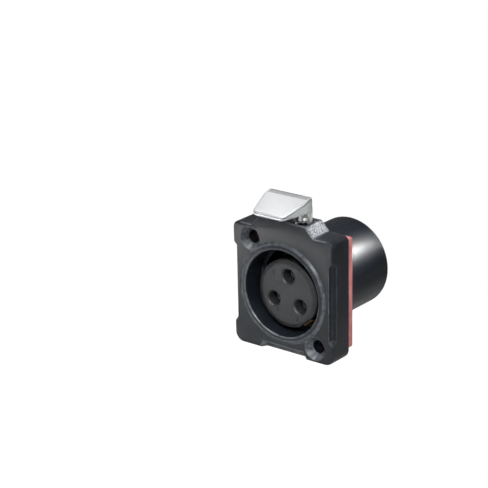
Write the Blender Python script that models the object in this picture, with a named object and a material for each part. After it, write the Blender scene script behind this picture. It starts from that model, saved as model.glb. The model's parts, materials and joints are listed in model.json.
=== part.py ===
"""Square-flange panel receptacle with three socket contacts and a press-to-release lever.

Frame: metres, +Z up. The front faces -Y and +X is to the right of someone looking at the front.
The origin is the point of the contact insert's front face that lies on the axis of the bore and the barrel.
"""
import math

import bmesh
import bpy
from mathutils import Matrix, Vector

mm = 0.001

# Fits between pieces
slip_fit = 0.15 * mm        # a piece that drops into its seat
face_gap = 0.1 * mm         # between two faces that lie on each other
pin_fit = 0.1 * mm          # round the lever's pin
spring_fit = 0.13 * mm      # between the pin and the inside of a coil

# Panel interface
screw_spacing_x = 19.0 * mm
screw_spacing_z = 24.0 * mm
screw_hole_radius = 1.65 * mm
countersink_radius = 2.95 * mm
countersink_depth = 1.65 * mm

# Flange
flange_width = 29.4 * mm
flange_height = 31.1 * mm
flange_depth = 6.6 * mm
top_corner_radius = 1.5 * mm
bottom_corner_radius = 2.4 * mm
front_fillet = 0.5 * mm
side_relief = 1.1 * mm              # bevel off the front edge of each side, measured on the front
side_relief_depth = 1.65 * mm       # and on the side
side_relief_half = 9.5 * mm
bottom_relief = 2.0 * mm
bottom_relief_depth = 1.7 * mm
bottom_relief_half = 6.0 * mm
relief_run = 1.15 * mm              # the slanted end of each relief
relief_hollow = 0.35 * mm           # how far its middle lies behind the straight line between its edges

# Lever block on top of the flange
block_rise = 2.5 * mm
block_top_half = 6.8 * mm
block_foot_half = 9.2 * mm

# Mating recess, from the front back
insert_recess = 1.95 * mm           # the insert's face behind the flange's face
lip_height = 0.55 * mm
lip_width = 1.45 * mm
lip_groove_width = 0.4 * mm         # round the foot of the lip
lip_groove_depth = 0.18 * mm
bore_wall = 0.4 * mm                # left of the barrel where the wide bore runs into it
bore_chamfer = 0.25 * mm
bore_depth = 6.0 * mm               # behind the flange's face
seat_depth = 13.1 * mm              # front of the inner shoulder, behind the flange's face
seat_thickness = 1.5 * mm
seat_fit = 0.25 * mm                # round the insert, through the shoulder

# Rear barrel
barrel_radius = 11.3 * mm
barrel_wall = 1.3 * mm
barrel_past_cups = 2.66 * mm        # the barrel's end behind the ends of the solder cups
barrel_chamfer = 0.3 * mm
rear_mouth_chamfer = 0.4 * mm

# Gasket
gasket_thickness = 1.35 * mm
gasket_top_inset = 0.65 * mm        # below the flange's shoulders
gasket_bottom_inset = 2.7 * mm      # above the flange's bottom edge
gasket_corner_radius = 0.5 * mm
collar_wall = 0.85 * mm
collar_length = 2.2 * mm

# Contact insert and what stands behind it
mating_gap = 1.5 * mm               # between the inside of the barrel and the insert's radius
insert_drop = 0.8 * mm              # the insert sits low, which leaves room for the latch above it
insert_rim_width = 1.1 * mm         # the shallow bevel round its face
insert_rim_depth = 0.3 * mm
insert_base_fit = 0.25 * mm         # round the insert's base, the insulator and the washer
insert_base_thickness = 2.8 * mm
cavity_wall = 2.25 * mm             # between a contact's hole and the insert's side
contact_angles = (86.0, 206.0, 326.0)
cavity_radius = 1.75 * mm
cavity_chamfer = 0.35 * mm
seal_wire_radius = 0.28 * mm
rear_insulator_thickness = 3.0 * mm
washer_thickness = 0.8 * mm
washer_width = 2.05 * mm
washer_tag_width = 2.4 * mm
washer_tag_thickness = 0.5 * mm
washer_tag_length = 3.6 * mm
washer_tag_step = 0.1 * mm          # the tag's inner face inside the ring's hole
washer_tag_hole_radius = 0.55 * mm
washer_tag_angle = 90.0
nut_thickness = 3.0 * mm
nut_wall = 1.45 * mm
nut_notch_width = 2.2 * mm
nut_notch_depth = 1.1 * mm
nut_notches = 4
mating_seal_thickness = 1.1 * mm

# Contacts
socket_recess = 3.4 * mm            # the socket's mouth behind the insert's face
socket_radius = 1.3 * mm
socket_bore_radius = 0.95 * mm
socket_bore_depth = 6.0 * mm
tine_length = 5.0 * mm
tine_gap = 0.3 * mm
contact_body_length = 8.05 * mm
contact_body_radius = 1.6 * mm
collar_radius = 2.1 * mm
collar_thickness = 1.1 * mm
cup_radius = 1.35 * mm
cup_bore_radius = 0.95 * mm
cup_length = 4.4 * mm
cup_bore_depth = 3.4 * mm
cup_opening = 3.0 * mm
cup_cut_rise = 0.2 * mm             # the opened half of the cup starts this far above its middle
sleeve_wall = 0.2 * mm
sleeve_recess = 3.0 * mm
sleeve_lip = 0.25 * mm

# Earth clip on the insert's side
clip_angle = -50.0
clip_width = 3.0 * mm
clip_thickness = 0.3 * mm
clip_front = 1.0 * mm
clip_bulge = 1.05 * mm              # how far it stands out of the insert's side
clip_bulge_length = 4.2 * mm
clip_flat_depth = 0.4 * mm          # the flat on the insert's side that the clip lies on

# Release lever
pivot_depth = 2.2 * mm              # behind the flange's face
pivot_rise = 1.0 * mm               # above the top of the block
pin_radius = 0.6 * mm
pin_half_length = 5.85 * mm
hub_radius = 1.25 * mm
hub_half_width = 2.0 * mm
lug_radius = 1.1 * mm
lug_width = 1.2 * mm
head_overhang = 5.2 * mm            # in front of the flange's face
head_rear_depth = 4.15 * mm         # behind the flange's face
head_kink_depth = 1.4 * mm
head_front_half = 4.55 * mm
head_rear_half = 6.15 * mm
head_corner_radius = 1.3 * mm
head_rear_corner_radius = 0.4 * mm
head_front_clearance = 2.15 * mm    # underside above the block, at the front edge
head_rear_clearance = 2.7 * mm      # and at the rear
head_front_thickness = 1.25 * mm
head_rear_thickness = 3.65 * mm
head_edge_round = 0.3 * mm
head_plate = 0.45 * mm              # the top plate above the groove
head_groove = 0.18 * mm
head_rear_chamfer = 0.8 * mm
back_plate_thickness = 0.6 * mm
plate_step = 0.06 * mm              # the plate's ends and rear inside the head's edge
back_plate_drop = 1.35 * mm         # below the pivot
post_width = 0.8 * mm               # the posts at the two ends of the back plate
post_depth = 1.25 * mm
arm_root_front = -0.55 * mm
nose_reach = 0.55 * mm              # how far the nose stands into the bore
nose_front = 1.0 * mm               # behind the pivot
nose_rear = 1.95 * mm
nose_bevel = 0.4 * mm
arm_half_width = 1.85 * mm
rest_gap = 0.2 * mm                 # between the arm and the ledge that stops it at rest
pocket_side_wall = 0.45 * mm
pocket_front_wall = 0.6 * mm
pocket_rear_wall = 1.6 * mm
pocket_depth = 1.5 * mm

# Lever springs, wound round the pin's ends
wire_radius = 0.2 * mm
coil_turns = 2                      # and the half turn that brings the second leg to the top
coil_pitch = 0.44 * mm
leg_length = 1.85 * mm              # the leg that lies on the block, in front of the pin
head_leg_length = 1.45 * mm         # the leg under the lever's head
leg_slope = 8.0                     # degrees at which the legs leave the coil
head_leg_slope = 1.0

# Facets
round_steps = 60
small_steps = 20
half_steps = 12                     # round half of a lug or hub
corner_steps = 5
wire_steps = 8                      # round the section of a seal's or clip's curve
coil_steps = 14                     # in one turn of a spring
lip_steps = 5

# Modelling
past = 1.0 * mm                     # how far a cutter runs out of what it cuts, or a piece into what it joins
smooth_angle = 32.0

# Places worked out from the sizes above
face_y = -insert_recess
bore_radius = barrel_radius - bore_wall
lip_base_radius = bore_radius + lip_width
shell_radius = barrel_radius - barrel_wall
insert_radius = shell_radius - mating_gap
insert_base_radius = shell_radius - insert_base_fit
contact_circle_radius = insert_radius - cavity_wall - cavity_radius
washer_inner_radius = insert_base_radius - washer_width
nut_radius = shell_radius - slip_fit
nut_inner_radius = nut_radius - nut_wall
clip_reach = insert_radius + clip_bulge
flange_rear_y = face_y + flange_depth
shoulder_z = flange_height / 2
bottom_z = -flange_height / 2
block_top_z = shoulder_z + block_rise
seat_front_y = face_y + seat_depth
seat_rear_y = seat_front_y + seat_thickness
insert_base_y = seat_rear_y + 2 * seal_wire_radius + 2 * face_gap
insert_rear_y = insert_base_y + insert_base_thickness
insulator_y = insert_rear_y + face_gap
cup_end_y = insulator_y + rear_insulator_thickness + cup_length
barrel_end_y = cup_end_y + barrel_past_cups
washer_y = insulator_y + rear_insulator_thickness + face_gap
nut_y = washer_y + washer_thickness + face_gap
pivot = Vector((0.0, face_y + pivot_depth, block_top_z + pivot_rise))
pocket_half = block_top_half - pocket_side_wall
pocket_front_y = face_y + pocket_front_wall
pocket_rear_y = flange_rear_y - pocket_rear_wall
pocket_floor_z = block_top_z - pocket_depth
nose_tip_z = bore_radius - nose_reach
insert_place = (0.0, -insert_drop)
seat_radius = insert_radius + seat_fit
screw_places = ((-screw_spacing_x / 2, screw_spacing_z / 2), (screw_spacing_x / 2, -screw_spacing_z / 2))
contact_places = [
    (contact_circle_radius * math.cos(turn), contact_circle_radius * math.sin(turn) - insert_drop)
    for turn in map(math.radians, contact_angles)
]


def clear_scene():
    for obj in list(bpy.data.objects):
        bpy.data.objects.remove(obj)


def material(name, color, metallic, roughness):
    mat = bpy.data.materials.new(name)
    mat.use_nodes = True
    shader = mat.node_tree.nodes["Principled BSDF"]
    shader.inputs["Base Color"].default_value = (*color, 1.0)
    shader.inputs["Metallic"].default_value = metallic
    shader.inputs["Roughness"].default_value = roughness
    return mat


def new_object(name, bm):
    bmesh.ops.recalc_face_normals(bm, faces=bm.faces)
    mesh = bpy.data.meshes.new(name)
    bm.to_mesh(mesh)
    bm.free()
    obj = bpy.data.objects.new(name, mesh)
    bpy.context.scene.collection.objects.link(obj)
    return obj


def dress(obj, name, mat):
    """Names a finished piece, gives it its material and shades its round faces smooth."""
    obj.name = name
    obj.data.name = name
    obj.data.materials.clear()
    obj.data.materials.append(mat)
    obj.data.shade_smooth()
    obj.data.set_sharp_from_angle(angle=math.radians(smooth_angle))
    return obj


def boolean(target, tool, operation):
    """Applies one exact Boolean to the target and removes the tool."""
    modifier = target.modifiers.new("boolean", "BOOLEAN")
    modifier.operation = operation
    modifier.solver = "EXACT"
    modifier.object = tool
    graph = bpy.context.evaluated_depsgraph_get()
    result = bpy.data.meshes.new_from_object(target.evaluated_get(graph))
    target.modifiers.clear()
    target.data = result
    bpy.data.objects.remove(tool)
    return target


def join(target, tool):
    return boolean(target, tool, "UNION")


def cut(target, tool):
    return boolean(target, tool, "DIFFERENCE")


def extruded(points, travel):
    """A closed prism: one face through the points, extruded along travel."""
    bm = bmesh.new()
    face = bm.faces.new([bm.verts.new(p) for p in points])
    moved = bmesh.ops.extrude_face_region(bm, geom=[face])["geom"]
    bmesh.ops.translate(bm, vec=travel, verts=[v for v in moved if isinstance(v, bmesh.types.BMVert)])
    return new_object("prism", bm)


def front_prism(outline, y_front, y_rear):
    return extruded([(x, y_front, z) for x, z in outline], (0, y_rear - y_front, 0))


def side_prism(outline, x_low, x_high):
    return extruded([(x_low, y, z) for y, z in outline], (x_high - x_low, 0, 0))


def box(x_low, x_high, y_low, y_high, z_low, z_high):
    return front_prism([(x_low, z_low), (x_high, z_low), (x_high, z_high), (x_low, z_high)], y_low, y_high)


def turned(profile, at=(0.0, 0.0), steps=round_steps):
    """Turns a profile of (radius, y) points once round the line parallel to Y through (x, z)."""
    bm = bmesh.new()
    axis = Vector((at[0], 0, at[1]))
    verts = [bm.verts.new(axis + Vector((radius, y, 0))) for radius, y in profile]
    edges = [bm.edges.new((verts[i - 1], verts[i])) for i in range(len(verts))]
    bmesh.ops.spin(
        bm, geom=verts + edges, cent=axis, axis=(0, 1, 0), angle=2 * math.pi, steps=steps, use_merge=True
    )
    bmesh.ops.remove_doubles(bm, verts=bm.verts, dist=0.001 * mm)
    bmesh.ops.dissolve_degenerate(bm, dist=0.001 * mm, edges=bm.edges)
    return new_object("turned", bm)


def cylinder(radius, y_low, y_high, at=(0.0, 0.0), steps=round_steps):
    """A solid round bar along Y."""
    return turned([(0, y_low), (radius, y_low), (radius, y_high), (0, y_high)], at=at, steps=steps)


def rod_x(radius, x_low, x_high, centre, steps=small_steps):
    """A round rod along X through a point."""
    ring = [
        (x_low, centre.y + radius * math.cos(a), centre.z + radius * math.sin(a))
        for a in (2 * math.pi * i / steps for i in range(steps))
    ]
    return extruded(ring, (x_high - x_low, 0, 0))


def rounded(corners, steps=corner_steps):
    """An outline through (u, v, radius) corners, each turned into an arc of its radius."""
    outline = []
    count = len(corners)
    for i, (u, v, radius) in enumerate(corners):
        corner = Vector((u, v))
        if radius <= 0:
            outline.append((u, v))
            continue
        before = (Vector(corners[i - 1][:2]) - corner).normalized()
        after = (Vector(corners[(i + 1) % count][:2]) - corner).normalized()
        half = before.angle(after) / 2
        centre = corner + (before + after).normalized() * radius / math.sin(half)
        start = corner + before * radius / math.tan(half) - centre
        turn = start.angle_signed(corner + after * radius / math.tan(half) - centre)
        for step in range(steps + 1):
            spoke = Matrix.Rotation(-turn * step / steps, 2) @ start
            outline.append(tuple(centre + spoke))
    return outline


def flange_outline():
    """The flange and its lever block seen from the front."""
    half = flange_width / 2
    return rounded(
        [
            (-half, bottom_z, bottom_corner_radius),
            (half, bottom_z, bottom_corner_radius),
            (half, shoulder_z, top_corner_radius),
            (block_foot_half, shoulder_z, 0),
            (block_top_half, block_top_z, 0),
            (-block_top_half, block_top_z, 0),
            (-block_foot_half, shoulder_z, 0),
            (-half, shoulder_z, top_corner_radius),
        ]
    )


def fillet_front(obj, y, size):
    """Rounds the edges that lie in the plane of y."""
    bm = bmesh.new()
    bm.from_mesh(obj.data)
    front = [e for e in bm.edges if all(abs(v.co.y - y) < 0.01 * mm for v in e.verts)]
    bmesh.ops.bevel(bm, geom=front, offset=size, segments=3, profile=0.5, affect="EDGES", clamp_overlap=True)
    bm.to_mesh(obj.data)
    bm.free()
    return obj


def relief_cutter(inset, depth, half_length, place):
    """Takes a hollow bevel off a front edge, with slanted ends; place(along, out, y) puts it on its edge."""
    slope = math.hypot(inset, depth)
    middle = (-inset / 2 - relief_hollow * depth / slope, depth / 2 + relief_hollow * inset / slope)
    section = [(-inset, -past), (past, -past), (past, depth), (0, depth), middle, (-inset, 0)]
    bm = bmesh.new()
    loops = []
    for side in (-1, 1):
        ends = [half_length + relief_run * (1 + out / inset - y / depth) for out, y in section]
        points = [place(side * end, out, face_y + y) for end, (out, y) in zip(ends, section)]
        loops.append([bm.verts.new(p) for p in points])
        bm.faces.new(loops[-1])
    low, high = loops
    for i in range(len(section)):
        bm.faces.new((low[i - 1], low[i], high[i], high[i - 1]))
    return new_object("relief", bm)


def lip_profile():
    """A rounded ring that stands proud of the flange round the bore."""
    width = lip_base_radius - bore_radius
    crest = [
        (lip_base_radius - width * (1 - math.cos(a)), face_y - lip_height * math.sin(a))
        for a in (math.pi / 2 * i / lip_steps for i in range(lip_steps + 1))
    ]
    return [(0, face_y - lip_height)] + crest[::-1] + [(lip_base_radius, face_y + past), (0, face_y + past)]


def lip_groove_profile():
    """A shallow V round the foot of the lip."""
    outer = lip_base_radius + lip_groove_width
    middle = (lip_base_radius + outer) / 2
    return [
        (lip_base_radius, face_y - past),
        (outer, face_y - past),
        (outer, face_y),
        (middle, face_y + lip_groove_depth),
        (lip_base_radius, face_y),
    ]


def recess_profile():
    """The mating recess, from in front of the lip to the inner shoulder."""
    crest_y = face_y - lip_height
    return [
        (0, crest_y - past),
        (bore_radius + bore_chamfer, crest_y - past),
        (bore_radius + bore_chamfer, crest_y),
        (bore_radius, crest_y + bore_chamfer),
        (bore_radius, face_y + bore_depth),
        (shell_radius, face_y + bore_depth),
        (shell_radius, seat_front_y),
        (0, seat_front_y),
    ]


def rear_bore_profile():
    return [
        (0, seat_rear_y),
        (shell_radius, seat_rear_y),
        (shell_radius, barrel_end_y - rear_mouth_chamfer),
        (shell_radius + rear_mouth_chamfer, barrel_end_y),
        (shell_radius + rear_mouth_chamfer, barrel_end_y + past),
        (0, barrel_end_y + past),
    ]


def screw_hole_cutter(place):
    """Countersink, through hole and the rear counterbore that takes the gasket's collar."""
    sink_y = face_y + countersink_depth
    collar_y = flange_rear_y - collar_length - slip_fit
    collar_bore = screw_hole_radius + collar_wall + slip_fit
    return turned(
        [
            (0, face_y - past),
            (countersink_radius, face_y - past),
            (countersink_radius, face_y),
            (screw_hole_radius, sink_y),
            (screw_hole_radius, collar_y),
            (collar_bore, collar_y),
            (collar_bore, flange_rear_y + past),
            (0, flange_rear_y + past),
        ],
        at=place,
        steps=small_steps * 2,
    )


def lever_lug(side):
    """One of the two ears in the pocket that hold the lever's pin."""
    inner = hub_half_width + 2 * slip_fit
    foot_z = pocket_floor_z - past / 2
    ring = [
        (pivot.y + lug_radius * math.cos(a), pivot.z + lug_radius * math.sin(a))
        for a in (math.pi * i / half_steps for i in range(half_steps + 1))
    ]
    outline = [(pivot.y + lug_radius, foot_z)] + ring + [(pivot.y - lug_radius, foot_z)]
    lug = side_prism(outline, side * inner, side * (inner + lug_width))
    hole = rod_x(pin_radius + pin_fit, side * (inner - past), side * (inner + lug_width + past), pivot)
    return cut(lug, hole)


def make_housing(mat):
    half = flange_width / 2
    housing = fillet_front(front_prism(flange_outline(), face_y, flange_rear_y), face_y, front_fillet)
    side = (side_relief, side_relief_depth, side_relief_half)
    bottom = (bottom_relief, bottom_relief_depth, bottom_relief_half)
    cut(housing, turned(lip_groove_profile()))
    join(housing, turned(lip_profile()))
    cut(housing, relief_cutter(*side, lambda along, out, y: (half + out, y, along)))
    cut(housing, relief_cutter(*side, lambda along, out, y: (-half - out, y, along)))
    cut(housing, relief_cutter(*bottom, lambda along, out, y: (along, y, bottom_z - out)))
    join(
        housing,
        turned(
            [
                (0, flange_rear_y - past),
                (barrel_radius, flange_rear_y - past),
                (barrel_radius, barrel_end_y - barrel_chamfer),
                (barrel_radius - barrel_chamfer, barrel_end_y),
                (0, barrel_end_y),
            ]
        ),
    )
    cut(housing, turned(recess_profile()))
    cut(housing, turned(rear_bore_profile()))
    cut(housing, cylinder(seat_radius, seat_front_y - past, seat_rear_y + past, insert_place))
    for place in screw_places:
        cut(housing, screw_hole_cutter(place))
    cut(
        housing,
        box(-pocket_half, pocket_half, pocket_front_y, pocket_rear_y, pocket_floor_z, block_top_z + past),
    )
    half = arm_half_width + 2 * slip_fit
    arm_front_y = pivot.y + arm_root_front
    nose_front_y = pivot.y + nose_front - rest_gap
    slot_rear_y = face_y + bore_depth
    ledge_z = nose_tip_z + 4 * nose_bevel
    cut(housing, box(-half, half, arm_front_y, slot_rear_y, ledge_z, pocket_floor_z + past))
    cut(housing, box(-half, half, nose_front_y, slot_rear_y, shell_radius, ledge_z + past))
    for side in (-1, 1):
        join(housing, lever_lug(side))
    return dress(housing, "housing", mat)


def make_gasket(mat):
    """A flat rubber plate with a collar that stands forward into each screw hole."""
    half = flange_width / 2
    front_y = flange_rear_y + face_gap
    rear_y = front_y + gasket_thickness
    low = bottom_z + gasket_bottom_inset
    high = shoulder_z - gasket_top_inset
    corners = [(-half, low), (half, low), (half, high), (-half, high)]
    gasket = front_prism(rounded([(x, z, gasket_corner_radius) for x, z in corners]), front_y, rear_y)
    collar_y = flange_rear_y - collar_length
    inner = screw_hole_radius
    outer = screw_hole_radius + collar_wall
    for place in screw_places:
        cut(gasket, cylinder((inner + outer) / 2, front_y - past, rear_y + past, place, small_steps))
        collar = [(inner, collar_y), (outer, collar_y), (outer, rear_y), (inner, rear_y)]
        join(gasket, turned(collar, at=place, steps=small_steps))
    cut(gasket, cylinder(barrel_radius + slip_fit, collar_y - past, rear_y + past))
    return dress(gasket, "panel_gasket", mat)


def turn_to_clip(obj):
    """Turns a piece modelled at +X round the insert's axis to the clip's place."""
    turn = Matrix.Rotation(-math.radians(clip_angle), 4, "Y")
    obj.data.transform(Matrix.Translation((0, 0, -insert_drop)) @ turn)
    return obj


def make_insert(mat):
    spigot = [
        (0, 0),
        (insert_radius - insert_rim_width, 0),
        (insert_radius, insert_rim_depth),
        (insert_radius, insert_base_y + past),
        (0, insert_base_y + past),
    ]
    insert = turned(spigot, at=insert_place)
    reach = insert_radius + past
    flat = box(insert_radius - clip_flat_depth, reach, -past, insert_base_y + 2 * past, -reach, reach)
    cut(insert, turn_to_clip(flat))
    join(insert, cylinder(insert_base_radius, insert_base_y, insert_rear_y))
    for place in contact_places:
        cavity = [
            (0, -past),
            (cavity_radius + cavity_chamfer, -past),
            (cavity_radius + cavity_chamfer, 0),
            (cavity_radius, cavity_chamfer),
            (cavity_radius, insert_rear_y + past),
            (0, insert_rear_y + past),
        ]
        cut(insert, turned(cavity, at=place, steps=small_steps))
    return dress(insert, "contact_insert", mat)


def make_clip(mat):
    """A leaf on the insert's flat: a high bulge meets the plug's shell, a low one the housing's shoulder."""
    rest = insert_radius - clip_flat_depth + face_gap + clip_thickness
    low_bulge = seat_radius - slip_fit
    seat_middle = (seat_front_y + seat_rear_y) / 2
    end_y = insert_base_y - 2 * slip_fit
    shares = [i / wire_steps for i in range(wire_steps + 1)]
    outer = []
    for share in shares:
        rise = math.sin(math.pi * share) ** 2
        outer.append((rest + rise * (clip_reach - rest), clip_front + clip_bulge_length * share))
    for share in shares:
        rise = math.sin(math.pi * share) ** 2
        outer.append((rest + rise * (low_bulge - rest), seat_middle + seat_thickness * (share - 0.5)))
    outer.append((rest, end_y))
    outline = outer + [(x - clip_thickness, y) for x, y in reversed(outer)]
    half = clip_width / 2
    clip = extruded([(x, y, -half) for x, y in outline], (0, 0, clip_width))
    return dress(turn_to_clip(clip), "earth_clip", mat)


def make_contact(name, place, mat):
    """Slotted socket, body, collar and solder cup, turned in one piece."""
    mouth_y = socket_recess
    body_y = insert_rear_y - contact_body_length
    collar_y = insert_rear_y + face_gap
    collar_end = collar_y + collar_thickness
    bore_end = mouth_y + socket_bore_depth
    cup_bore_y = cup_end_y - cup_bore_depth
    contact = turned(
        [
            (socket_bore_radius, mouth_y),
            (socket_radius, mouth_y),
            (socket_radius, body_y),
            (contact_body_radius, body_y),
            (contact_body_radius, collar_y),
            (collar_radius, collar_y),
            (collar_radius, collar_end),
            (cup_radius, collar_end),
            (cup_radius, cup_end_y),
            (cup_bore_radius, cup_end_y),
            (cup_bore_radius, cup_bore_y),
            (0, cup_bore_y),
            (0, bore_end),
            (socket_bore_radius, bore_end),
        ],
        at=place,
        steps=small_steps,
    )
    x, z = place
    reach = socket_radius + past
    half = tine_gap / 2
    tine_y = mouth_y + tine_length
    opening_y = cup_end_y - cup_opening
    cut(contact, box(x - reach, x + reach, mouth_y - past, tine_y, z - half, z + half))
    cut(contact, box(x - half, x + half, mouth_y - past, tine_y, z - reach, z + reach))
    cut(contact, box(x - reach, x + reach, opening_y, cup_end_y + past, z + cup_cut_rise, z + reach))
    return dress(contact, name, mat)


def make_sleeve(name, place, mat):
    """The thin hood round a socket's tines, with a small inward lip at its mouth."""
    outer = cavity_radius - slip_fit / 2
    inner = outer - sleeve_wall
    front_y = sleeve_recess
    rear_y = insert_rear_y - contact_body_length - face_gap
    sleeve = turned(
        [
            (inner - sleeve_lip, front_y),
            (outer, front_y),
            (outer, rear_y),
            (inner, rear_y),
            (inner, front_y + sleeve_wall),
            (inner - sleeve_lip, front_y + sleeve_wall),
        ],
        at=place,
        steps=small_steps,
    )
    return dress(sleeve, name, mat)


def make_mating_seal(mat):
    """A flat ring on the housing's shoulder; its hole follows the insert, which sits low."""
    rear_y = seat_front_y - face_gap
    front_y = rear_y - mating_seal_thickness
    inner = insert_radius + slip_fit
    outer = shell_radius - slip_fit
    seal = cylinder(outer, front_y, rear_y)
    cut(seal, cylinder(inner, front_y - past, rear_y + past, insert_place))
    return dress(seal, "mating_seal", mat)


def make_insert_seal(mat):
    """The O-ring between the housing's shoulder and the insert's base."""
    middle = shell_radius - slip_fit / 2 - seal_wire_radius
    centre_y = seat_rear_y + face_gap + seal_wire_radius
    section = [
        (middle + seal_wire_radius * math.cos(a), centre_y + seal_wire_radius * math.sin(a))
        for a in (2 * math.pi * i / wire_steps for i in range(wire_steps))
    ]
    return dress(turned(section), "insert_seal", mat)


def make_rear_insulator(mat):
    rear_y = insulator_y + rear_insulator_thickness
    insulator = cylinder(insert_base_radius, insulator_y, rear_y)
    seat = insulator_y + collar_thickness + face_gap
    for place in contact_places:
        hole = [
            (0, insulator_y - past),
            (collar_radius + slip_fit, insulator_y - past),
            (collar_radius + slip_fit, seat),
            (cup_radius + slip_fit, seat),
            (cup_radius + slip_fit, rear_y + past),
            (0, rear_y + past),
        ]
        cut(insulator, turned(hole, at=place, steps=small_steps))
    return dress(insulator, "rear_insulator", mat)


def make_washer(mat):
    """A flat ring with one solder tag bent back through the nut."""
    rear_y = washer_y + washer_thickness
    washer = turned(
        [
            (washer_inner_radius, washer_y),
            (insert_base_radius, washer_y),
            (insert_base_radius, rear_y),
            (washer_inner_radius, rear_y),
        ]
    )
    half = washer_tag_width / 2
    low = washer_inner_radius - washer_tag_step
    high = low + washer_tag_thickness
    tag = box(low, high, washer_y + washer_tag_step, rear_y + washer_tag_length, -half, half)
    hole_y = rear_y + washer_tag_length - half
    drill = [
        (low - past, hole_y + washer_tag_hole_radius * math.cos(a), washer_tag_hole_radius * math.sin(a))
        for a in (2 * math.pi * i / small_steps for i in range(small_steps))
    ]
    cut(tag, extruded(drill, (washer_tag_thickness + 2 * past, 0, 0)))
    tag.data.transform(Matrix.Rotation(-math.radians(washer_tag_angle), 4, "Y"))
    join(washer, tag)
    return dress(washer, "earth_washer", mat)


def make_nut(mat):
    rear_y = nut_y + nut_thickness
    ring = [(nut_inner_radius, nut_y), (nut_radius, nut_y), (nut_radius, rear_y), (nut_inner_radius, rear_y)]
    nut = turned(ring)
    low = nut_inner_radius - past
    high = nut_radius + past
    half = nut_notch_width / 2
    for i in range(nut_notches):
        notch = box(low, high, rear_y - nut_notch_depth, rear_y + past, -half, half)
        notch.data.transform(Matrix.Rotation(2 * math.pi * (i + 0.5) / nut_notches, 4, "Y"))
        cut(nut, notch)
    return dress(nut, "retaining_nut", mat)


def head_loop(inset, height):
    """The lever head's outline seen from above, drawn in by inset, at height(y)."""
    front = face_y - head_overhang + inset
    rear = face_y + head_rear_depth - inset
    kink = face_y + head_kink_depth
    narrow = head_front_half - inset
    wide = head_rear_half - inset
    small = head_rear_corner_radius
    outline = rounded(
        [
            (-narrow, front, head_corner_radius),
            (narrow, front, head_corner_radius),
            (wide, kink, head_corner_radius),
            (wide, rear, small),
            (-wide, rear, small),
            (-wide, kink, head_corner_radius),
        ]
    )
    return [(x, y, height(y)) for x, y in outline]


def make_lever_head():
    """A wedge that is thicker at the rear, with a fine groove under its top plate."""
    front = face_y - head_overhang
    run = head_overhang + head_rear_depth
    clearance_slope = (head_rear_clearance - head_front_clearance) / run
    thickness_slope = (head_rear_thickness - head_front_thickness) / run

    def underside(y):
        return block_top_z + head_front_clearance + clearance_slope * (y - front)

    def top(y):
        return underside(y) + head_front_thickness + thickness_slope * (y - front)

    layers = [
        (head_edge_round, underside),
        (0, lambda y: underside(y) + head_edge_round),
        (0, lambda y: top(y) - head_plate - head_groove),
        (head_groove, lambda y: top(y) - head_plate - head_groove * 0.9),
        (head_groove, lambda y: top(y) - head_plate - head_groove * 0.1),
        (0, lambda y: top(y) - head_plate),
        (0, lambda y: top(y) - head_edge_round),
        (head_edge_round * 0.3, lambda y: top(y) - head_edge_round * 0.3),
        (head_edge_round, top),
    ]
    bm = bmesh.new()
    loops = [[bm.verts.new(p) for p in head_loop(inset, height)] for inset, height in layers]
    for low, high in zip(loops, loops[1:]):
        for i in range(len(low)):
            bm.faces.new((low[i - 1], low[i], high[i], high[i - 1]))
    bm.faces.new(loops[0])
    bm.faces.new(loops[-1])
    head = new_object("head", bm)
    rear = face_y + head_rear_depth
    size = head_rear_chamfer
    wide = head_rear_half + past
    crest = top(rear)
    wedge = [
        (rear - size, crest + past),
        (rear - size, top(rear - size)),
        (rear, crest - size / 2),
        (rear + past, crest - size),
        (rear + past, crest + past),
    ]
    cut(head, side_prism(wedge, -wide, wide))
    return head, underside


def lever_hub_outline(underside):
    """Side view of the hub, from the underside of the head down round the pin."""
    ring = [
        (pivot.y - hub_radius * math.cos(a), pivot.z - hub_radius * math.sin(a))
        for a in (math.pi * i / half_steps for i in range(half_steps + 1))
    ]
    rear = face_y + head_rear_depth - back_plate_thickness / 2
    high = underside(rear) + head_edge_round
    return [(rear, high), (pivot.y - hub_radius, high)] + ring + [(rear, pivot.z)]


def latch_arm_outline():
    """Side view of the latch arm, from the hub down to the nose that stands into the bore."""
    drop = nose_tip_z - pivot.z
    root = hub_radius / math.sqrt(2)
    places = [
        (arm_root_front + slip_fit, -root),
        (nose_front, drop + 3 * nose_bevel),
        (nose_front, drop + nose_bevel),
        (nose_front + nose_bevel, drop),
        (nose_rear, drop),
        (nose_rear, drop + 4 * nose_bevel),
        (root, -root),
    ]
    return [(pivot.y + y, pivot.z + z) for y, z in places]


def make_lever(mat):
    lever, underside = make_lever_head()
    rear = face_y + head_rear_depth
    low = pivot.z - back_plate_drop
    high = underside(rear) + past
    half = head_rear_half - plate_step
    plate_rear = rear - plate_step
    join(lever, box(-half, half, rear - back_plate_thickness, plate_rear, low, high))
    for side in (-1, 1):
        join(lever, box(side * (half - post_width), side * half, rear - post_depth, plate_rear, low, high))
    join(lever, side_prism(lever_hub_outline(underside), -hub_half_width, hub_half_width))
    join(lever, side_prism(latch_arm_outline(), -arm_half_width, arm_half_width))
    reach = hub_half_width + past
    cut(lever, rod_x(pin_radius + pin_fit, -reach, reach, pivot))
    lever.data.transform(Matrix.Translation(-pivot))
    lever.location = pivot
    return dress(lever, "release_lever", mat)


def make_pin(mat):
    return dress(rod_x(pin_radius, -pin_half_length, pin_half_length, pivot), "lever_pin", mat)


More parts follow.
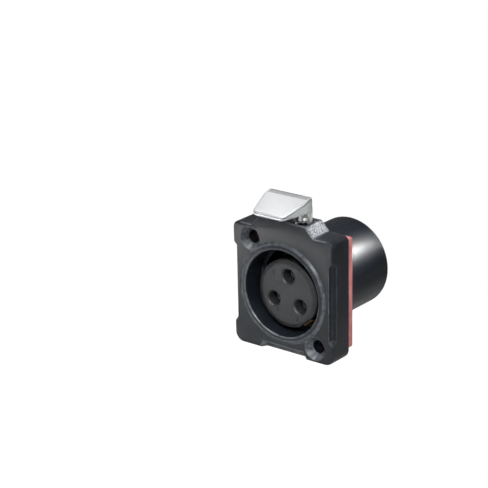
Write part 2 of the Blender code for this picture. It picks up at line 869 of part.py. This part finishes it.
def spring_points():
    """The wire's middle line about the pivot: up from the block, round the pin, and out under the head."""
    mean = pin_radius + spring_fit + wire_radius
    start_x = hub_half_width + 4 * slip_fit + lug_width + wire_radius
    first = math.radians(270 - leg_slope)
    last = math.radians(90 - head_leg_slope + 360 * (coil_turns + 1))
    count = round(coil_steps * (last - first) / (2 * math.pi))
    points = []
    for i in range(count + 1):
        angle = first + (last - first) * i / count
        x = start_x + coil_pitch * (angle - first) / (2 * math.pi)
        points.append(Vector((x, mean * math.cos(angle), mean * math.sin(angle))))
    rise = (leg_length + points[0].y) * math.tan(math.radians(leg_slope))
    block_leg = Vector((start_x, -leg_length, points[0].z + rise))
    rise = (head_leg_length + points[-1].y) * math.tan(math.radians(head_leg_slope))
    head_leg = Vector((points[-1].x, -head_leg_length, points[-1].z + rise))
    return [block_leg] + points + [head_leg]


def make_spring(name, side, mat):
    """A torsion spring on one end of the pin."""
    points = spring_points()
    curve = bpy.data.curves.new(name, "CURVE")
    curve.dimensions = "3D"
    curve.bevel_depth = wire_radius
    curve.bevel_resolution = 1
    curve.use_fill_caps = True
    spline = curve.splines.new("POLY")
    spline.points.add(len(points) - 1)
    for target, point in zip(spline.points, points):
        target.co = (side * point.x, point.y, point.z, 1)
    obj = bpy.data.objects.new(name, curve)
    obj.location = pivot
    bpy.context.scene.collection.objects.link(obj)
    curve.materials.append(mat)
    return obj


def main():
    clear_scene()
    casting = material("black_casting", (0.045, 0.05, 0.06), 0.6, 0.42)
    red_rubber = material("red_rubber", (0.62, 0.1, 0.08), 0.0, 0.6)
    black_rubber = material("black_rubber", (0.02, 0.02, 0.02), 0.0, 0.7)
    grey_plastic = material("grey_plastic", (0.1, 0.1, 0.105), 0.0, 0.5)
    chrome = material("satin_chrome", (0.8, 0.81, 0.82), 1.0, 0.25)
    silver = material("silver_plate", (0.85, 0.83, 0.78), 1.0, 0.3)
    brass = material("brass", (0.72, 0.5, 0.24), 1.0, 0.35)
    steel = material("steel", (0.6, 0.6, 0.6), 1.0, 0.3)
    make_housing(casting)
    make_gasket(red_rubber)
    make_insert(grey_plastic)
    make_clip(brass)
    for number, place in enumerate(contact_places, 1):
        make_contact(f"contact_{number}", place, silver)
        make_sleeve(f"contact_sleeve_{number}", place, steel)
    make_mating_seal(black_rubber)
    make_insert_seal(black_rubber)
    make_rear_insulator(grey_plastic)
    make_washer(brass)
    make_nut(casting)
    make_lever(chrome)
    make_pin(steel)
    make_spring("lever_spring_left", -1, steel)
    make_spring("lever_spring_right", 1, steel)


main()
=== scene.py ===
"""Looks of the panel receptacle: materials, rounded edges, numbers, floor, light and the fitted camera."""
import json
import math

import bmesh
import bpy
from mathutils import Matrix, Vector

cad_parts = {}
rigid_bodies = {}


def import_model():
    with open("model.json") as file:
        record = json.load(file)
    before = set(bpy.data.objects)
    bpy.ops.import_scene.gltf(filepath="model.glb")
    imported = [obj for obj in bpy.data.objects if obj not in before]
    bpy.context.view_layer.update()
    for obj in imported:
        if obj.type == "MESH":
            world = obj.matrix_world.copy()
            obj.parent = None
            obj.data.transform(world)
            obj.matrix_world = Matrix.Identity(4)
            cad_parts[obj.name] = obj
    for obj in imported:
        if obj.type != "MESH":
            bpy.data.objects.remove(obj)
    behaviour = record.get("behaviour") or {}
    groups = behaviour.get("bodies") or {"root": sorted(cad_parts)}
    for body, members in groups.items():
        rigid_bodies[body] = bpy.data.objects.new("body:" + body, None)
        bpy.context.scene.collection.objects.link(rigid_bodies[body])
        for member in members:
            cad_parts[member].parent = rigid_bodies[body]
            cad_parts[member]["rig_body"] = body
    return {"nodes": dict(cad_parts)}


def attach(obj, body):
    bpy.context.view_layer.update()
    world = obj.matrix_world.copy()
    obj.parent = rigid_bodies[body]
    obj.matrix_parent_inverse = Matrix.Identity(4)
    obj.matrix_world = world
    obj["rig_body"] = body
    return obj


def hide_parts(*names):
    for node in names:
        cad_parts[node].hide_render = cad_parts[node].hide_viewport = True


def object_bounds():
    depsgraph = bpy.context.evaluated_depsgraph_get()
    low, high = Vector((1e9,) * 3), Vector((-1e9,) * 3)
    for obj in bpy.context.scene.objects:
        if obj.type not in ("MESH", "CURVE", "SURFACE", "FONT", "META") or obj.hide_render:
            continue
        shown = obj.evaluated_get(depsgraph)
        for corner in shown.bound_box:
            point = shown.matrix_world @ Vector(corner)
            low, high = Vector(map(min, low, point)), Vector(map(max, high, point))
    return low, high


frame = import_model()
cad_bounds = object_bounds()
mm = 0.001

# The photograph's camera, fitted to the flange, the bore and the insert
image_size = 488
azimuth = math.radians(38.834)
elevation = math.radians(19.76)
roll = math.radians(-1.205)
focal_px = 1744.1
distance = 415.2 * mm
target = Vector((0, -1.95 * mm, 0))
target_px = (282.291, 293.388)
sensor_width = 36.0
clip_start = 0.01

# Where one look ends and the next begins; what lies aside is measured from the middle plane
flange_rear_y = 4.65 * mm
countersink_reach = 12.7 * mm       # aside, past both countersinks
slope_inner = 6.85 * mm             # aside, the slanted sides of the lever block
slope_outer = 9.15 * mm
slope_front_y = -1.5 * mm
slope_foot_z = 15.7 * mm
strip_y = 0.35 * mm                 # the strip along the rear of the lever's top
strip_z = 22.9 * mm
strip_half = 5.7 * mm
short_fade = 0.05 * mm
fade = 0.1 * mm
long_fade = 0.2 * mm
barrel_fade = 0.5 * mm

# Most of a noise's values lie between these
noise_low = 0.3
noise_high = 0.7

# Making a finished piece from a CAD node
weld_distance = 0.002 * mm
flat_angle = math.radians(0.6)

# Numbers on the insert's face: text, and x and z in millimetres
number_places = (("1", -3.99, 3.99), ("2", -3.01, -5.28), ("3", 2.98, -6.62))
number_size = 1.35 * mm
number_relief = 0.012 * mm
number_y = -0.008 * mm

# Floor and world: the share of plain white that camera, glossy and transmission rays see, and its strength
floor_shares = (0.9, 0.05, 0.75)
floor_white = 1.11
floor_half = 2.0
floor_gap = 0.01 * mm
world_shares = (1.0, 0.05, 1.0)
world_white = 1.0
world_color = (0.88, 0.94, 1.0, 1)
world_strength = 0.1

# Name, azimuth and elevation, distance, side, power in watts, point aimed at, spread in degrees
lamps = (
    ("top_box", (234, 47), 0.45, 0.36, 0.045, (0, 0.005, 0), 60),
    ("right_box", (88, 33), 0.45, 0.18, 0.09, (0, 0.005, 0), 180),
    ("floor_near", (320, 80), 0.22, 0.08, 0.039, (-0.04, -0.045, -0.0155), 45),
    ("floor_far", (320, 85), 0.2, 0.06, 0.13, (-0.08, -0.09, -0.0155), 40),
    ("rim", (148, 32), 0.4, 0.012, 0.0022, (0.007, 0.0145, 0.0085), 3),
    ("block_beam", (96, 42), 0.4, 0.012, 0.00042, (0.008, 0.0005, 0.019), 1.6),
    ("key_left", (31, 40), 0.45, 0.03, 0.0028, (0.006, -0.002, 0.001), 6),
    ("key_right", (60, 38), 0.45, 0.04, 0.0016, (0.008, 0, 0.002), 6),
)


class Shader:
    """A new material and short calls that add and link its nodes."""

    def __init__(self, name):
        self.mat = bpy.data.materials.new(name)
        self.mat.use_nodes = True
        self.tree = self.mat.node_tree
        self.bsdf = self.tree.nodes["Principled BSDF"]
        self.coords = self.tree.nodes.new("ShaderNodeTexCoord").outputs

    def put(self, socket, value):
        """Links another node's output to a socket, or sets the socket's own value."""
        if isinstance(value, bpy.types.NodeSocket):
            self.tree.links.new(value, socket)
        elif isinstance(value, (tuple, list)) and len(value) == 3 and socket.type == "RGBA":
            socket.default_value = (*value, 1.0)
        else:
            socket.default_value = value

    def set(self, **inputs):
        for name, value in inputs.items():
            self.put(self.bsdf.inputs[name.replace("_", " ")], value)

    def noise(self, scale, detail, rough=0.55):
        node = self.tree.nodes.new("ShaderNodeTexNoise")
        self.tree.links.new(self.coords["Object"], node.inputs["Vector"])
        node.inputs["Scale"].default_value = scale
        node.inputs["Detail"].default_value = detail
        node.inputs["Roughness"].default_value = rough
        return node.outputs["Fac"]

    def part_of(self, vector, axis):
        node = self.tree.nodes.new("ShaderNodeSeparateXYZ")
        self.tree.links.new(vector, node.inputs[0])
        return node.outputs[axis]

    def place(self, axis):
        return self.part_of(self.coords["Object"], axis)

    def aside(self):
        """The distance from the middle plane."""
        return self.math("ABSOLUTE", self.place("X"))

    def remap(self, value, low, high, to_low=0.0, to_high=1.0):
        node = self.tree.nodes.new("ShaderNodeMapRange")
        self.put(node.inputs["Value"], value)
        node.inputs["From Min"].default_value = low
        node.inputs["From Max"].default_value = high
        node.inputs["To Min"].default_value = to_low
        node.inputs["To Max"].default_value = to_high
        return node.outputs["Result"]

    def beyond(self, value, start, run):
        """0 at the start and 1 at the end of the run, which goes downwards where it is negative."""
        return self.remap(value, start, start + run)

    def grade(self, mask, off, on):
        """The value off where the mask is 0, and on where it is 1."""
        return self.remap(mask, 0.0, 1.0, off, on)

    def between(self, noise, lowest, highest):
        """The noise, spread over the range given."""
        return self.remap(noise, noise_low, noise_high, lowest, highest)

    def math(self, operation, a, b=0.0):
        node = self.tree.nodes.new("ShaderNodeMath")
        node.operation = operation
        self.put(node.inputs[0], a)
        self.put(node.inputs[1], b)
        return node.outputs[0]

    def times(self, first, *others):
        for other in others:
            first = self.math("MULTIPLY", first, other)
        return first

    def mix(self, factor, a, b):
        node = self.tree.nodes.new("ShaderNodeMix")
        node.data_type = "RGBA"
        self.put(node.inputs["Factor"], factor)
        self.put([s for s in node.inputs if s.name == "A" and s.type == "RGBA"][0], a)
        self.put([s for s in node.inputs if s.name == "B" and s.type == "RGBA"][0], b)
        return [s for s in node.outputs if s.type == "RGBA"][0]

    def mottle(self, noise, dark, light):
        return self.mix(self.between(noise, 0.0, 1.0), dark, light)

    def edges(self, radius):
        """1 on convex and concave edges, 0 on open faces."""
        open_match = 0.995          # how well a rounded normal matches the real one, off and on an edge
        edge_match = 0.88
        bevel = self.tree.nodes.new("ShaderNodeBevel")
        bevel.samples = 6
        bevel.inputs["Radius"].default_value = radius
        geometry = self.tree.nodes.new("ShaderNodeNewGeometry")
        dot = self.tree.nodes.new("ShaderNodeVectorMath")
        dot.operation = "DOT_PRODUCT"
        self.tree.links.new(bevel.outputs["Normal"], dot.inputs[0])
        self.tree.links.new(geometry.outputs["Normal"], dot.inputs[1])
        return self.remap(dot.outputs["Value"], open_match, edge_match)

    def slanted(self):
        """1 on faces near the middle plane that slant between side and front, such as countersinks."""
        lean = self.math("ABSOLUTE", self.part_of(self.coords["Normal"], "Y"))
        middle = self.beyond(self.aside(), countersink_reach, -long_fade)
        off_side = self.remap(lean, low=0.2, high=0.4)
        off_front = self.remap(lean, low=0.97, high=0.85)
        return self.times(off_side, off_front, middle)

    def open_sky(self, reach):
        """1 on open faces, falling towards 0 in corners and grooves."""
        node = self.tree.nodes.new("ShaderNodeAmbientOcclusion")
        node.samples = 4
        node.inputs["Distance"].default_value = reach
        return node.outputs["AO"]

    def painted_highlight_slopes(self):
        """1 on the two slanted sides of the lever block, where a sparkling grey highlight is painted."""
        return self.times(
            self.beyond(self.aside(), slope_inner, fade),
            self.beyond(self.aside(), slope_outer, -fade),
            self.beyond(self.place("Y"), flange_rear_y, -short_fade),
            self.beyond(self.place("Y"), slope_front_y, short_fade),
            self.beyond(self.place("Z"), slope_foot_z, fade),
        )

    def bump(self, height, strength, depth):
        node = self.tree.nodes.new("ShaderNodeBump")
        node.inputs["Strength"].default_value = strength
        node.inputs["Distance"].default_value = depth
        self.tree.links.new(height, node.inputs["Height"])
        self.tree.links.new(node.outputs["Normal"], self.bsdf.inputs["Normal"])


def casting_material():
    """A black coat: darker and smoother on the barrel, lighter on edges from use and painted highlight,
    with painted highlights on countersinks and on the block's slanted sides, and painted shade dimming its
    gloss in corners.
    """
    coat = (0.006, 0.0082, 0.0115), (0.0105, 0.0138, 0.0188)
    barrel_coat = (0.0016, 0.0034, 0.008)
    wear_and_highlight_color = (0.2, 0.215, 0.235)
    slope_highlight_colors = (0.1, 0.105, 0.112), (0.52, 0.53, 0.55)
    corner_shade_reach = 1.2 * mm
    edge_width = 0.3 * mm
    slant_highlight = 0.7
    most_wear_and_highlight = 0.85
    slope_highlight_rougher = 0.3
    barrel_smoother = 0.03
    barrel_duller = 0.07
    s = Shader("black_coat")
    grain = s.noise(scale=2600, detail=3)
    # Painted shade: the gloss is dimmed in corners and grooves.
    painted_shade_free = s.remap(s.open_sky(corner_shade_reach), low=0.35, high=0.95)
    barrel = s.beyond(s.place("Y"), flange_rear_y, barrel_fade)
    # Painted highlight: the block's slanted sides are painted a sparkling light grey.
    slope_highlight = s.painted_highlight_slopes()
    # Edges are lighter from use and also carry a painted highlight; slanted faces such as countersinks get
    # a painted highlight.
    wear_and_highlight = s.math("MAXIMUM", s.edges(edge_width), s.times(s.slanted(), slant_highlight))
    patches = s.remap(s.noise(scale=900, detail=3), low=0.2, high=0.6)
    wear_and_highlight = s.times(wear_and_highlight, patches, most_wear_and_highlight)
    base = s.mix(barrel, s.mottle(s.noise(scale=220, detail=4), *coat), barrel_coat)
    sparkle = s.remap(s.noise(scale=2600, detail=2, rough=0.8), low=0.4, high=0.62)
    s.set(Base_Color=s.mix(slope_highlight, s.mix(wear_and_highlight, base, wear_and_highlight_color), s.mix(sparkle, *slope_highlight_colors)))
    rough = s.math("SUBTRACT", s.between(grain, 0.31, 0.41), s.times(barrel, barrel_smoother))
    s.set(Roughness=s.math("ADD", rough, s.times(slope_highlight, slope_highlight_rougher)))
    gloss = s.grade(painted_shade_free, off=0.08, on=0.46)
    s.set(Specular_IOR_Level=s.math("SUBTRACT", gloss, s.times(barrel, barrel_duller)))
    s.bump(s.times(grain, s.grade(barrel, off=1.0, on=0.25)), strength=0.25, depth=0.02 * mm)
    return s.mat


def rubber_material(name, dark, light, roughness):
    """Rubber with painted shade: much darker and less glossy where it lies in front of the flange's rear,
    down in holes and grooves.
    """
    red_left = 0.16                 # how much of each colour is left down there
    green_left = 0.08
    blue_left = 0.08
    uneven = 0.08
    s = Shader(name)
    # Painted shade: in front of the flange's rear the rubber is much darker and less glossy.
    painted_shade_front = s.beyond(s.place("Y"), flange_rear_y, -fade)
    deep = (dark[0] * red_left, dark[1] * green_left, dark[2] * blue_left)
    s.set(Base_Color=s.mix(painted_shade_front, s.mottle(s.noise(scale=400, detail=4), dark, light), deep))
    s.set(Specular_IOR_Level=s.grade(painted_shade_front, off=0.4, on=0.1))
    s.set(Roughness=s.between(s.noise(scale=1800, detail=2), roughness - uneven, roughness + uneven))
    s.bump(s.noise(scale=1500, detail=3), strength=0.2, depth=0.03 * mm)
    return s.mat


def plastic_material(name, dark, light):
    """Satin plastic with a faint dust, and painted shade that makes it dark in its holes and at its foot.
    """
    dust_color = (0.2, 0.2, 0.21)
    dust_share = 0.35
    hole_shade_color = (0.003, 0.003, 0.003)
    hole_shade_reach = 1.4 * mm
    s = Shader(name)
    dust = s.remap(s.noise(scale=3200, detail=2, rough=0.7), low=0.56, high=0.72)
    plain = s.mottle(s.noise(scale=500, detail=4), dark, light)
    base = s.mix(s.times(dust, dust_share), plain, dust_color)
    # Painted shade: near black and without gloss in holes and at the foot.
    painted_shade_free = s.remap(s.open_sky(hole_shade_reach), low=0.66, high=0.9)
    s.set(Base_Color=s.mix(painted_shade_free, hole_shade_color, base))
    s.set(Specular_IOR_Level=s.grade(painted_shade_free, off=0.02, on=0.5))
    s.set(Roughness=s.between(s.noise(scale=1500, detail=3), 0.42, 0.56))
    s.bump(s.noise(scale=2200, detail=3), strength=0.22, depth=0.02 * mm)
    return s.mat


def metal_material(name, dark, light, roughness, metallic=1.0, shade_reach=0.0):
    """Grained metal; with a shade reach, painted shade makes it darker deep inside."""
    shade = 0.04
    smoother = 0.05
    rougher = 0.06
    s = Shader(name)
    grain = s.noise(scale=900, detail=4)
    base = s.mottle(grain, dark, light)
    # Painted shade: with a shade reach, the colour is darker deep inside holes.
    if shade_reach:
        painted_shade_free = s.remap(s.open_sky(shade_reach), low=0.12, high=0.38)
        base = s.mix(painted_shade_free, tuple(v * shade for v in dark), base)
    s.set(Base_Color=base, Metallic=metallic)
    s.set(Roughness=s.between(grain, roughness - smoother, roughness + rougher))
    s.bump(grain, strength=0.12, depth=0.01 * mm)
    return s.mat


def lever_material():
    """Satin chrome, with painted shade darkening its groove and creases, and the greyer strip along the
    rear of the lever's top.
    """
    plate = (0.85, 0.86, 0.865), (0.89, 0.895, 0.9)
    strip_color = (0.5, 0.51, 0.52)
    groove_shade_color = (0.12, 0.12, 0.125)
    groove_shade_reach = 0.5 * mm
    s = Shader("satin_chrome_look")
    grain = s.noise(scale=900, detail=4)
    strip = s.times(
        s.beyond(s.place("Y"), strip_y, short_fade),
        s.beyond(s.place("Z"), strip_z, short_fade),
        s.beyond(s.aside(), strip_half, -short_fade),
    )
    base = s.mix(strip, s.mottle(grain, *plate), strip_color)
    # Painted shade: dark in the groove and other creases.
    groove = s.remap(s.open_sky(groove_shade_reach), low=0.75, high=0.35)
    s.set(Base_Color=s.mix(groove, base, groove_shade_color), Metallic=0.75)
    s.set(Roughness=s.between(grain, 0.31, 0.42))
    return s.mat


def softened(node, mat, edge, sharp_deg=28.0, segments=2):
    """Replaces a CAD node with a copy that has its flat faces merged and its edges rounded."""
    source = frame["nodes"][node]
    body = source["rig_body"]
    sharp_angle = math.radians(sharp_deg)
    bm = bmesh.new()
    bm.from_mesh(source.data)
    bmesh.ops.remove_doubles(bm, verts=bm.verts, dist=weld_distance)
    bmesh.ops.dissolve_limit(bm, angle_limit=flat_angle, verts=bm.verts, edges=bm.edges)
    mesh = bpy.data.meshes.new(node + "_finish")
    bm.to_mesh(mesh)
    bm.free()
    mesh.materials.append(mat)
    mesh.shade_smooth()
    mesh.set_sharp_from_angle(angle=sharp_angle)
    piece = bpy.data.objects.new(node + "_finish", mesh)
    bpy.context.scene.collection.objects.link(piece)
    if edge:
        bevel = piece.modifiers.new("edges", "BEVEL")
        bevel.width = edge
        bevel.segments = segments
        bevel.limit_method = "ANGLE"
        bevel.angle_limit = sharp_angle
        bevel.harden_normals = True
        bevel.use_clamp_overlap = True
    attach(piece, body)
    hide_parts(node)


def number(text, x, z, mat):
    """A small moulded number on the insert's face."""
    curve = bpy.data.curves.new("number_" + text, "FONT")
    curve.body = text
    curve.size = number_size
    curve.extrude = number_relief
    curve.align_x = "CENTER"
    curve.align_y = "CENTER"
    obj = bpy.data.objects.new("number_" + text, curve)
    bpy.context.scene.collection.objects.link(obj)
    obj.matrix_world = Matrix.Translation((x, number_y, z)) @ Matrix.Rotation(math.pi / 2, 4, "X")
    curve.materials.append(mat)
    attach(obj, "receptacle")


def make_pieces():
    casting = casting_material()
    red = rubber_material("red_rubber_look", (0.56, 0.19, 0.185), (0.72, 0.27, 0.26), 0.55)
    black = rubber_material("black_rubber_look", (0.012, 0.012, 0.013), (0.022, 0.022, 0.023), 0.62)
    plastic = plastic_material("charcoal_plastic", (0.018, 0.019, 0.02), (0.026, 0.027, 0.029))
    chrome = lever_material()
    silver = metal_material("silver_look", (0.66, 0.64, 0.6), (0.86, 0.84, 0.79), 0.24)
    steel = metal_material("steel_look", (0.72, 0.72, 0.72), (0.86, 0.86, 0.87), 0.24, metallic=0.8)
    sleeve = metal_material("sleeve_look", (0.8, 0.8, 0.8), (0.92, 0.92, 0.93), 0.2, shade_reach=1.6 * mm)
    brass = metal_material("brass_look", (0.13, 0.09, 0.06), (0.25, 0.17, 0.1), 0.5)

    softened("housing", casting, 0.12 * mm)
    softened("retaining_nut", casting, 0.12 * mm)
    softened("panel_gasket", red, 0.28 * mm, segments=3)
    softened("mating_seal", black, 0.06 * mm)
    softened("insert_seal", black, 0, sharp_deg=60)
    softened("contact_insert", plastic, 0.06 * mm)
    softened("rear_insulator", plastic, 0.1 * mm)
    softened("earth_clip", brass, 0.04 * mm)
    softened("earth_washer", brass, 0.06 * mm)
    softened("release_lever", chrome, 0.08 * mm)
    softened("lever_pin", steel, 0.06 * mm)
    for side in ("left", "right"):
        softened("lever_spring_" + side, steel, 0, sharp_deg=50)
    for index in (1, 2, 3):
        softened(f"contact_{index}", silver, 0.05 * mm)
        softened(f"contact_sleeve_{index}", sleeve, 0.085 * mm, segments=3)
    for text, x, z in number_places:
        number(text, x * mm, z * mm, black)


def ray_weight(tree, shares):
    """How much white a ray sees: a share of its own for camera, glossy and transmission rays, or none."""
    path = tree.nodes.new("ShaderNodeLightPath")
    total = None
    for name, share in zip(("Is Camera Ray", "Is Glossy Ray", "Is Transmission Ray"), shares):
        part = tree.nodes.new("ShaderNodeMath")
        part.operation = "MULTIPLY"
        part.inputs[1].default_value = share
        tree.links.new(path.outputs[name], part.inputs[0])
        if total is None:
            total = part.outputs[0]
            continue
        most = tree.nodes.new("ShaderNodeMath")
        most.operation = "MAXIMUM"
        tree.links.new(total, most.inputs[0])
        tree.links.new(part.outputs[0], most.inputs[1])
        total = most.outputs[0]
    return total


def white_for_view(tree, plain, output, white_kind, shares, strength):
    """Mixes plain white into what the weighted rays see of the floor or the world."""
    mixer = tree.nodes.new("ShaderNodeMixShader")
    tree.links.new(ray_weight(tree, shares), mixer.inputs[0])
    tree.links.new(plain, mixer.inputs[1])
    white = tree.nodes.new(white_kind)
    white.inputs["Color"].default_value = (1, 1, 1, 1)
    white.inputs["Strength"].default_value = strength
    tree.links.new(white.outputs[0], mixer.inputs[2])
    tree.links.new(mixer.outputs[0], output.inputs["Surface"])


def make_floor():
    pale = (0.83, 0.83, 0.83), (0.86, 0.86, 0.86)
    bm = bmesh.new()
    bmesh.ops.create_grid(bm, x_segments=1, y_segments=1, size=floor_half)
    mesh = bpy.data.meshes.new("floor")
    bm.to_mesh(mesh)
    bm.free()
    floor = bpy.data.objects.new("floor", mesh)
    floor.location.z = cad_bounds[0].z - floor_gap
    bpy.context.scene.collection.objects.link(floor)
    s = Shader("pale_floor")
    s.set(Base_Color=s.mix(s.noise(scale=3, detail=2), *pale), Roughness=0.9)
    output = s.tree.nodes["Material Output"]
    white_for_view(s.tree, s.bsdf.outputs[0], output, "ShaderNodeEmission", floor_shares, floor_white)
    mesh.materials.append(s.mat)


def make_world():
    world = bpy.data.worlds.new("studio")
    bpy.context.scene.world = world
    world.use_nodes = True
    tree = world.node_tree
    background = tree.nodes["Background"]
    background.inputs["Color"].default_value = world_color
    background.inputs["Strength"].default_value = world_strength
    output = tree.nodes["World Output"]
    white_for_view(tree, background.outputs[0], output, "ShaderNodeBackground", world_shares, world_white)


def direction(az, el):
    """The unit vector towards a viewer or lamp at this azimuth and elevation; azimuth 0 is in front."""
    return Vector((math.sin(az) * math.cos(el), -math.cos(az) * math.cos(el), math.sin(el)))


def area_light(name, direction_deg, reach, size, power, aim, spread_deg):
    """A square lamp in the given direction from the point that it is aimed at."""
    back = direction(*(math.radians(v) for v in direction_deg))
    data = bpy.data.lights.new(name, "AREA")
    data.size = size
    data.energy = power
    data.spread = math.radians(spread_deg)
    lamp = bpy.data.objects.new(name, data)
    lamp.location = Vector(aim) + back * reach
    lamp.rotation_mode = "QUATERNION"
    lamp.rotation_quaternion = (-back).to_track_quat("-Z", "Y")
    bpy.context.scene.collection.objects.link(lamp)


def make_camera():
    """The fitted camera, moved sideways so that the target falls on its own pixel."""
    back = direction(azimuth, elevation)
    right = Vector((math.cos(azimuth), math.sin(azimuth), 0))
    up = back.cross(right)
    right, up = right * math.cos(roll) + up * math.sin(roll), up * math.cos(roll) - right * math.sin(roll)
    half = image_size / 2
    aside = (target_px[0] - half) / focal_px * distance
    above = (half - target_px[1]) / focal_px * distance
    data = bpy.data.cameras.new("camera")
    data.sensor_width = sensor_width
    data.lens = focal_px / image_size * sensor_width
    data.clip_start = clip_start
    camera = bpy.data.objects.new("camera", data)
    place = target + back * distance - right * aside - up * above
    camera.matrix_world = Matrix.Translation(place) @ Matrix((right, up, back)).transposed().to_4x4()
    bpy.context.scene.collection.objects.link(camera)
    bpy.context.scene.camera = camera


make_pieces()
make_floor()
make_world()
for lamp_values in lamps:
    area_light(*lamp_values)
make_camera()
bpy.context.scene.view_settings.view_transform = "Standard"
